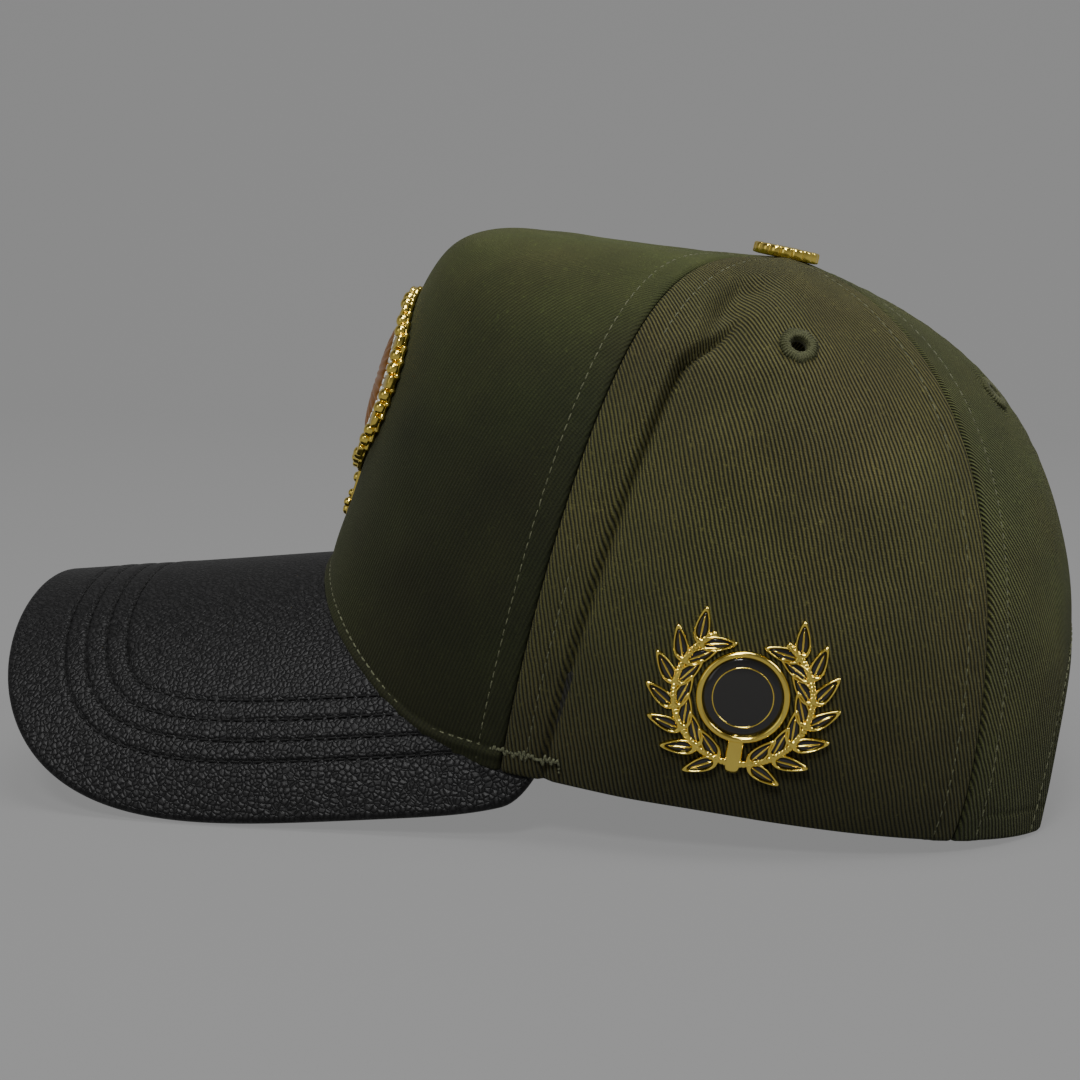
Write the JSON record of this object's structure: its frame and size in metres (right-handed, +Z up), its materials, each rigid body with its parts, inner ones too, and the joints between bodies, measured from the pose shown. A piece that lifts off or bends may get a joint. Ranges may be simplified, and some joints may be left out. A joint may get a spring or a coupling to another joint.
{
  "type": "peaked cap",
  "caption": "Five-panel peaked cap: tall cloth crown, curved leather visor, top button, metal badge and pin, snap strap at the back.",
  "frame": {"origin": "On the table, under the middle of the cap's length and width, with the cap resting on the two low sides of its visor and the two lower corners of its back opening.", "axes": "-Y is the visor's direction (the front), +X is the wearer's left, +Z is up. The crown's lower edge dips 7 degrees towards the back."},
  "size_m": [0.1578, 0.2706, 0.1425],
  "materials": {
    "crown_cloth": "olive twill",
    "embroidery": "olive thread",
    "tape": "woven tape",
    "buckram": "stiffened mesh cloth",
    "sweatband": "cotton twill",
    "label": "plain woven label",
    "leather": "pebbled",
    "board": "moulded sheet",
    "gold": "polished gold plate",
    "light_enamel": "glossy enamel",
    "dark_enamel": "glossy enamel",
    "plated_steel": "plated",
    "strap_plastic": "satin moulded"
  },
  "bodies": {
    "cap": {"arch_binding": "tape", "back_eyelet_left": "embroidery", "back_eyelet_right": "embroidery", "back_panel_left": "crown_cloth", "back_panel_right": "crown_cloth", "back_seam_tape_left": "tape", "back_seam_tape_right": "tape", "badge_boss": "gold", "badge_inlay": "light_enamel", "badge_plate": "gold", "badge_prongs": "plated_steel", "badge_rim": "gold", "button_rivet": "plated_steel", "button_washer": "plated_steel", "care_label": "label", "front_buckram": "buckram", "front_panel": "crown_cloth", "front_seam_tape_left": "tape", "front_seam_tape_right": "tape", "pin_body": "gold", "pin_enamel": "dark_enamel", "pin_posts": "plated_steel", "rear_seam_tape": "tape", "side_eyelet_left": "embroidery", "side_eyelet_right": "embroidery", "side_panel_left": "crown_cloth", "side_panel_right": "crown_cloth", "strap_anchor_left": "strap_plastic", "strap_anchor_right": "strap_plastic", "sweatband": "sweatband", "top_button": "gold", "visor_board": "board", "visor_rim": "leather", "visor_top_cover": "leather", "visor_under_cover": "leather"},
    "hole_strap": {"strap_holes": "strap_plastic"},
    "stud_strap": {"strap_studs": "strap_plastic"},
    "front_clutch": {"pin_clutch_front": "plated_steel"},
    "rear_clutch": {"pin_clutch_rear": "plated_steel"}
  },
  "joints": [
    {"name": "hole_strap_swing", "type": "hinge", "parent": "cap", "child": "hole_strap", "pos_m": [0.035, 0.12596, 0.01088], "axis": [0, -0.078, -0.997], "range_deg": [0, 75]},
    {"name": "stud_strap_swing", "type": "hinge", "parent": "cap", "child": "stud_strap", "pos_m": [-0.03454, 0.12454, 0.01099], "axis": [0, -0.078, -0.997], "range_deg": [0, 30]},
    {"name": "front_clutch_slide", "type": "slide", "parent": "cap", "child": "front_clutch", "axis": [-1, 0, 0], "range_m": [0, 0.008]},
    {"name": "rear_clutch_slide", "type": "slide", "parent": "cap", "child": "rear_clutch", "axis": [-1, 0, 0], "range_m": [0, 0.008]}
  ]
}
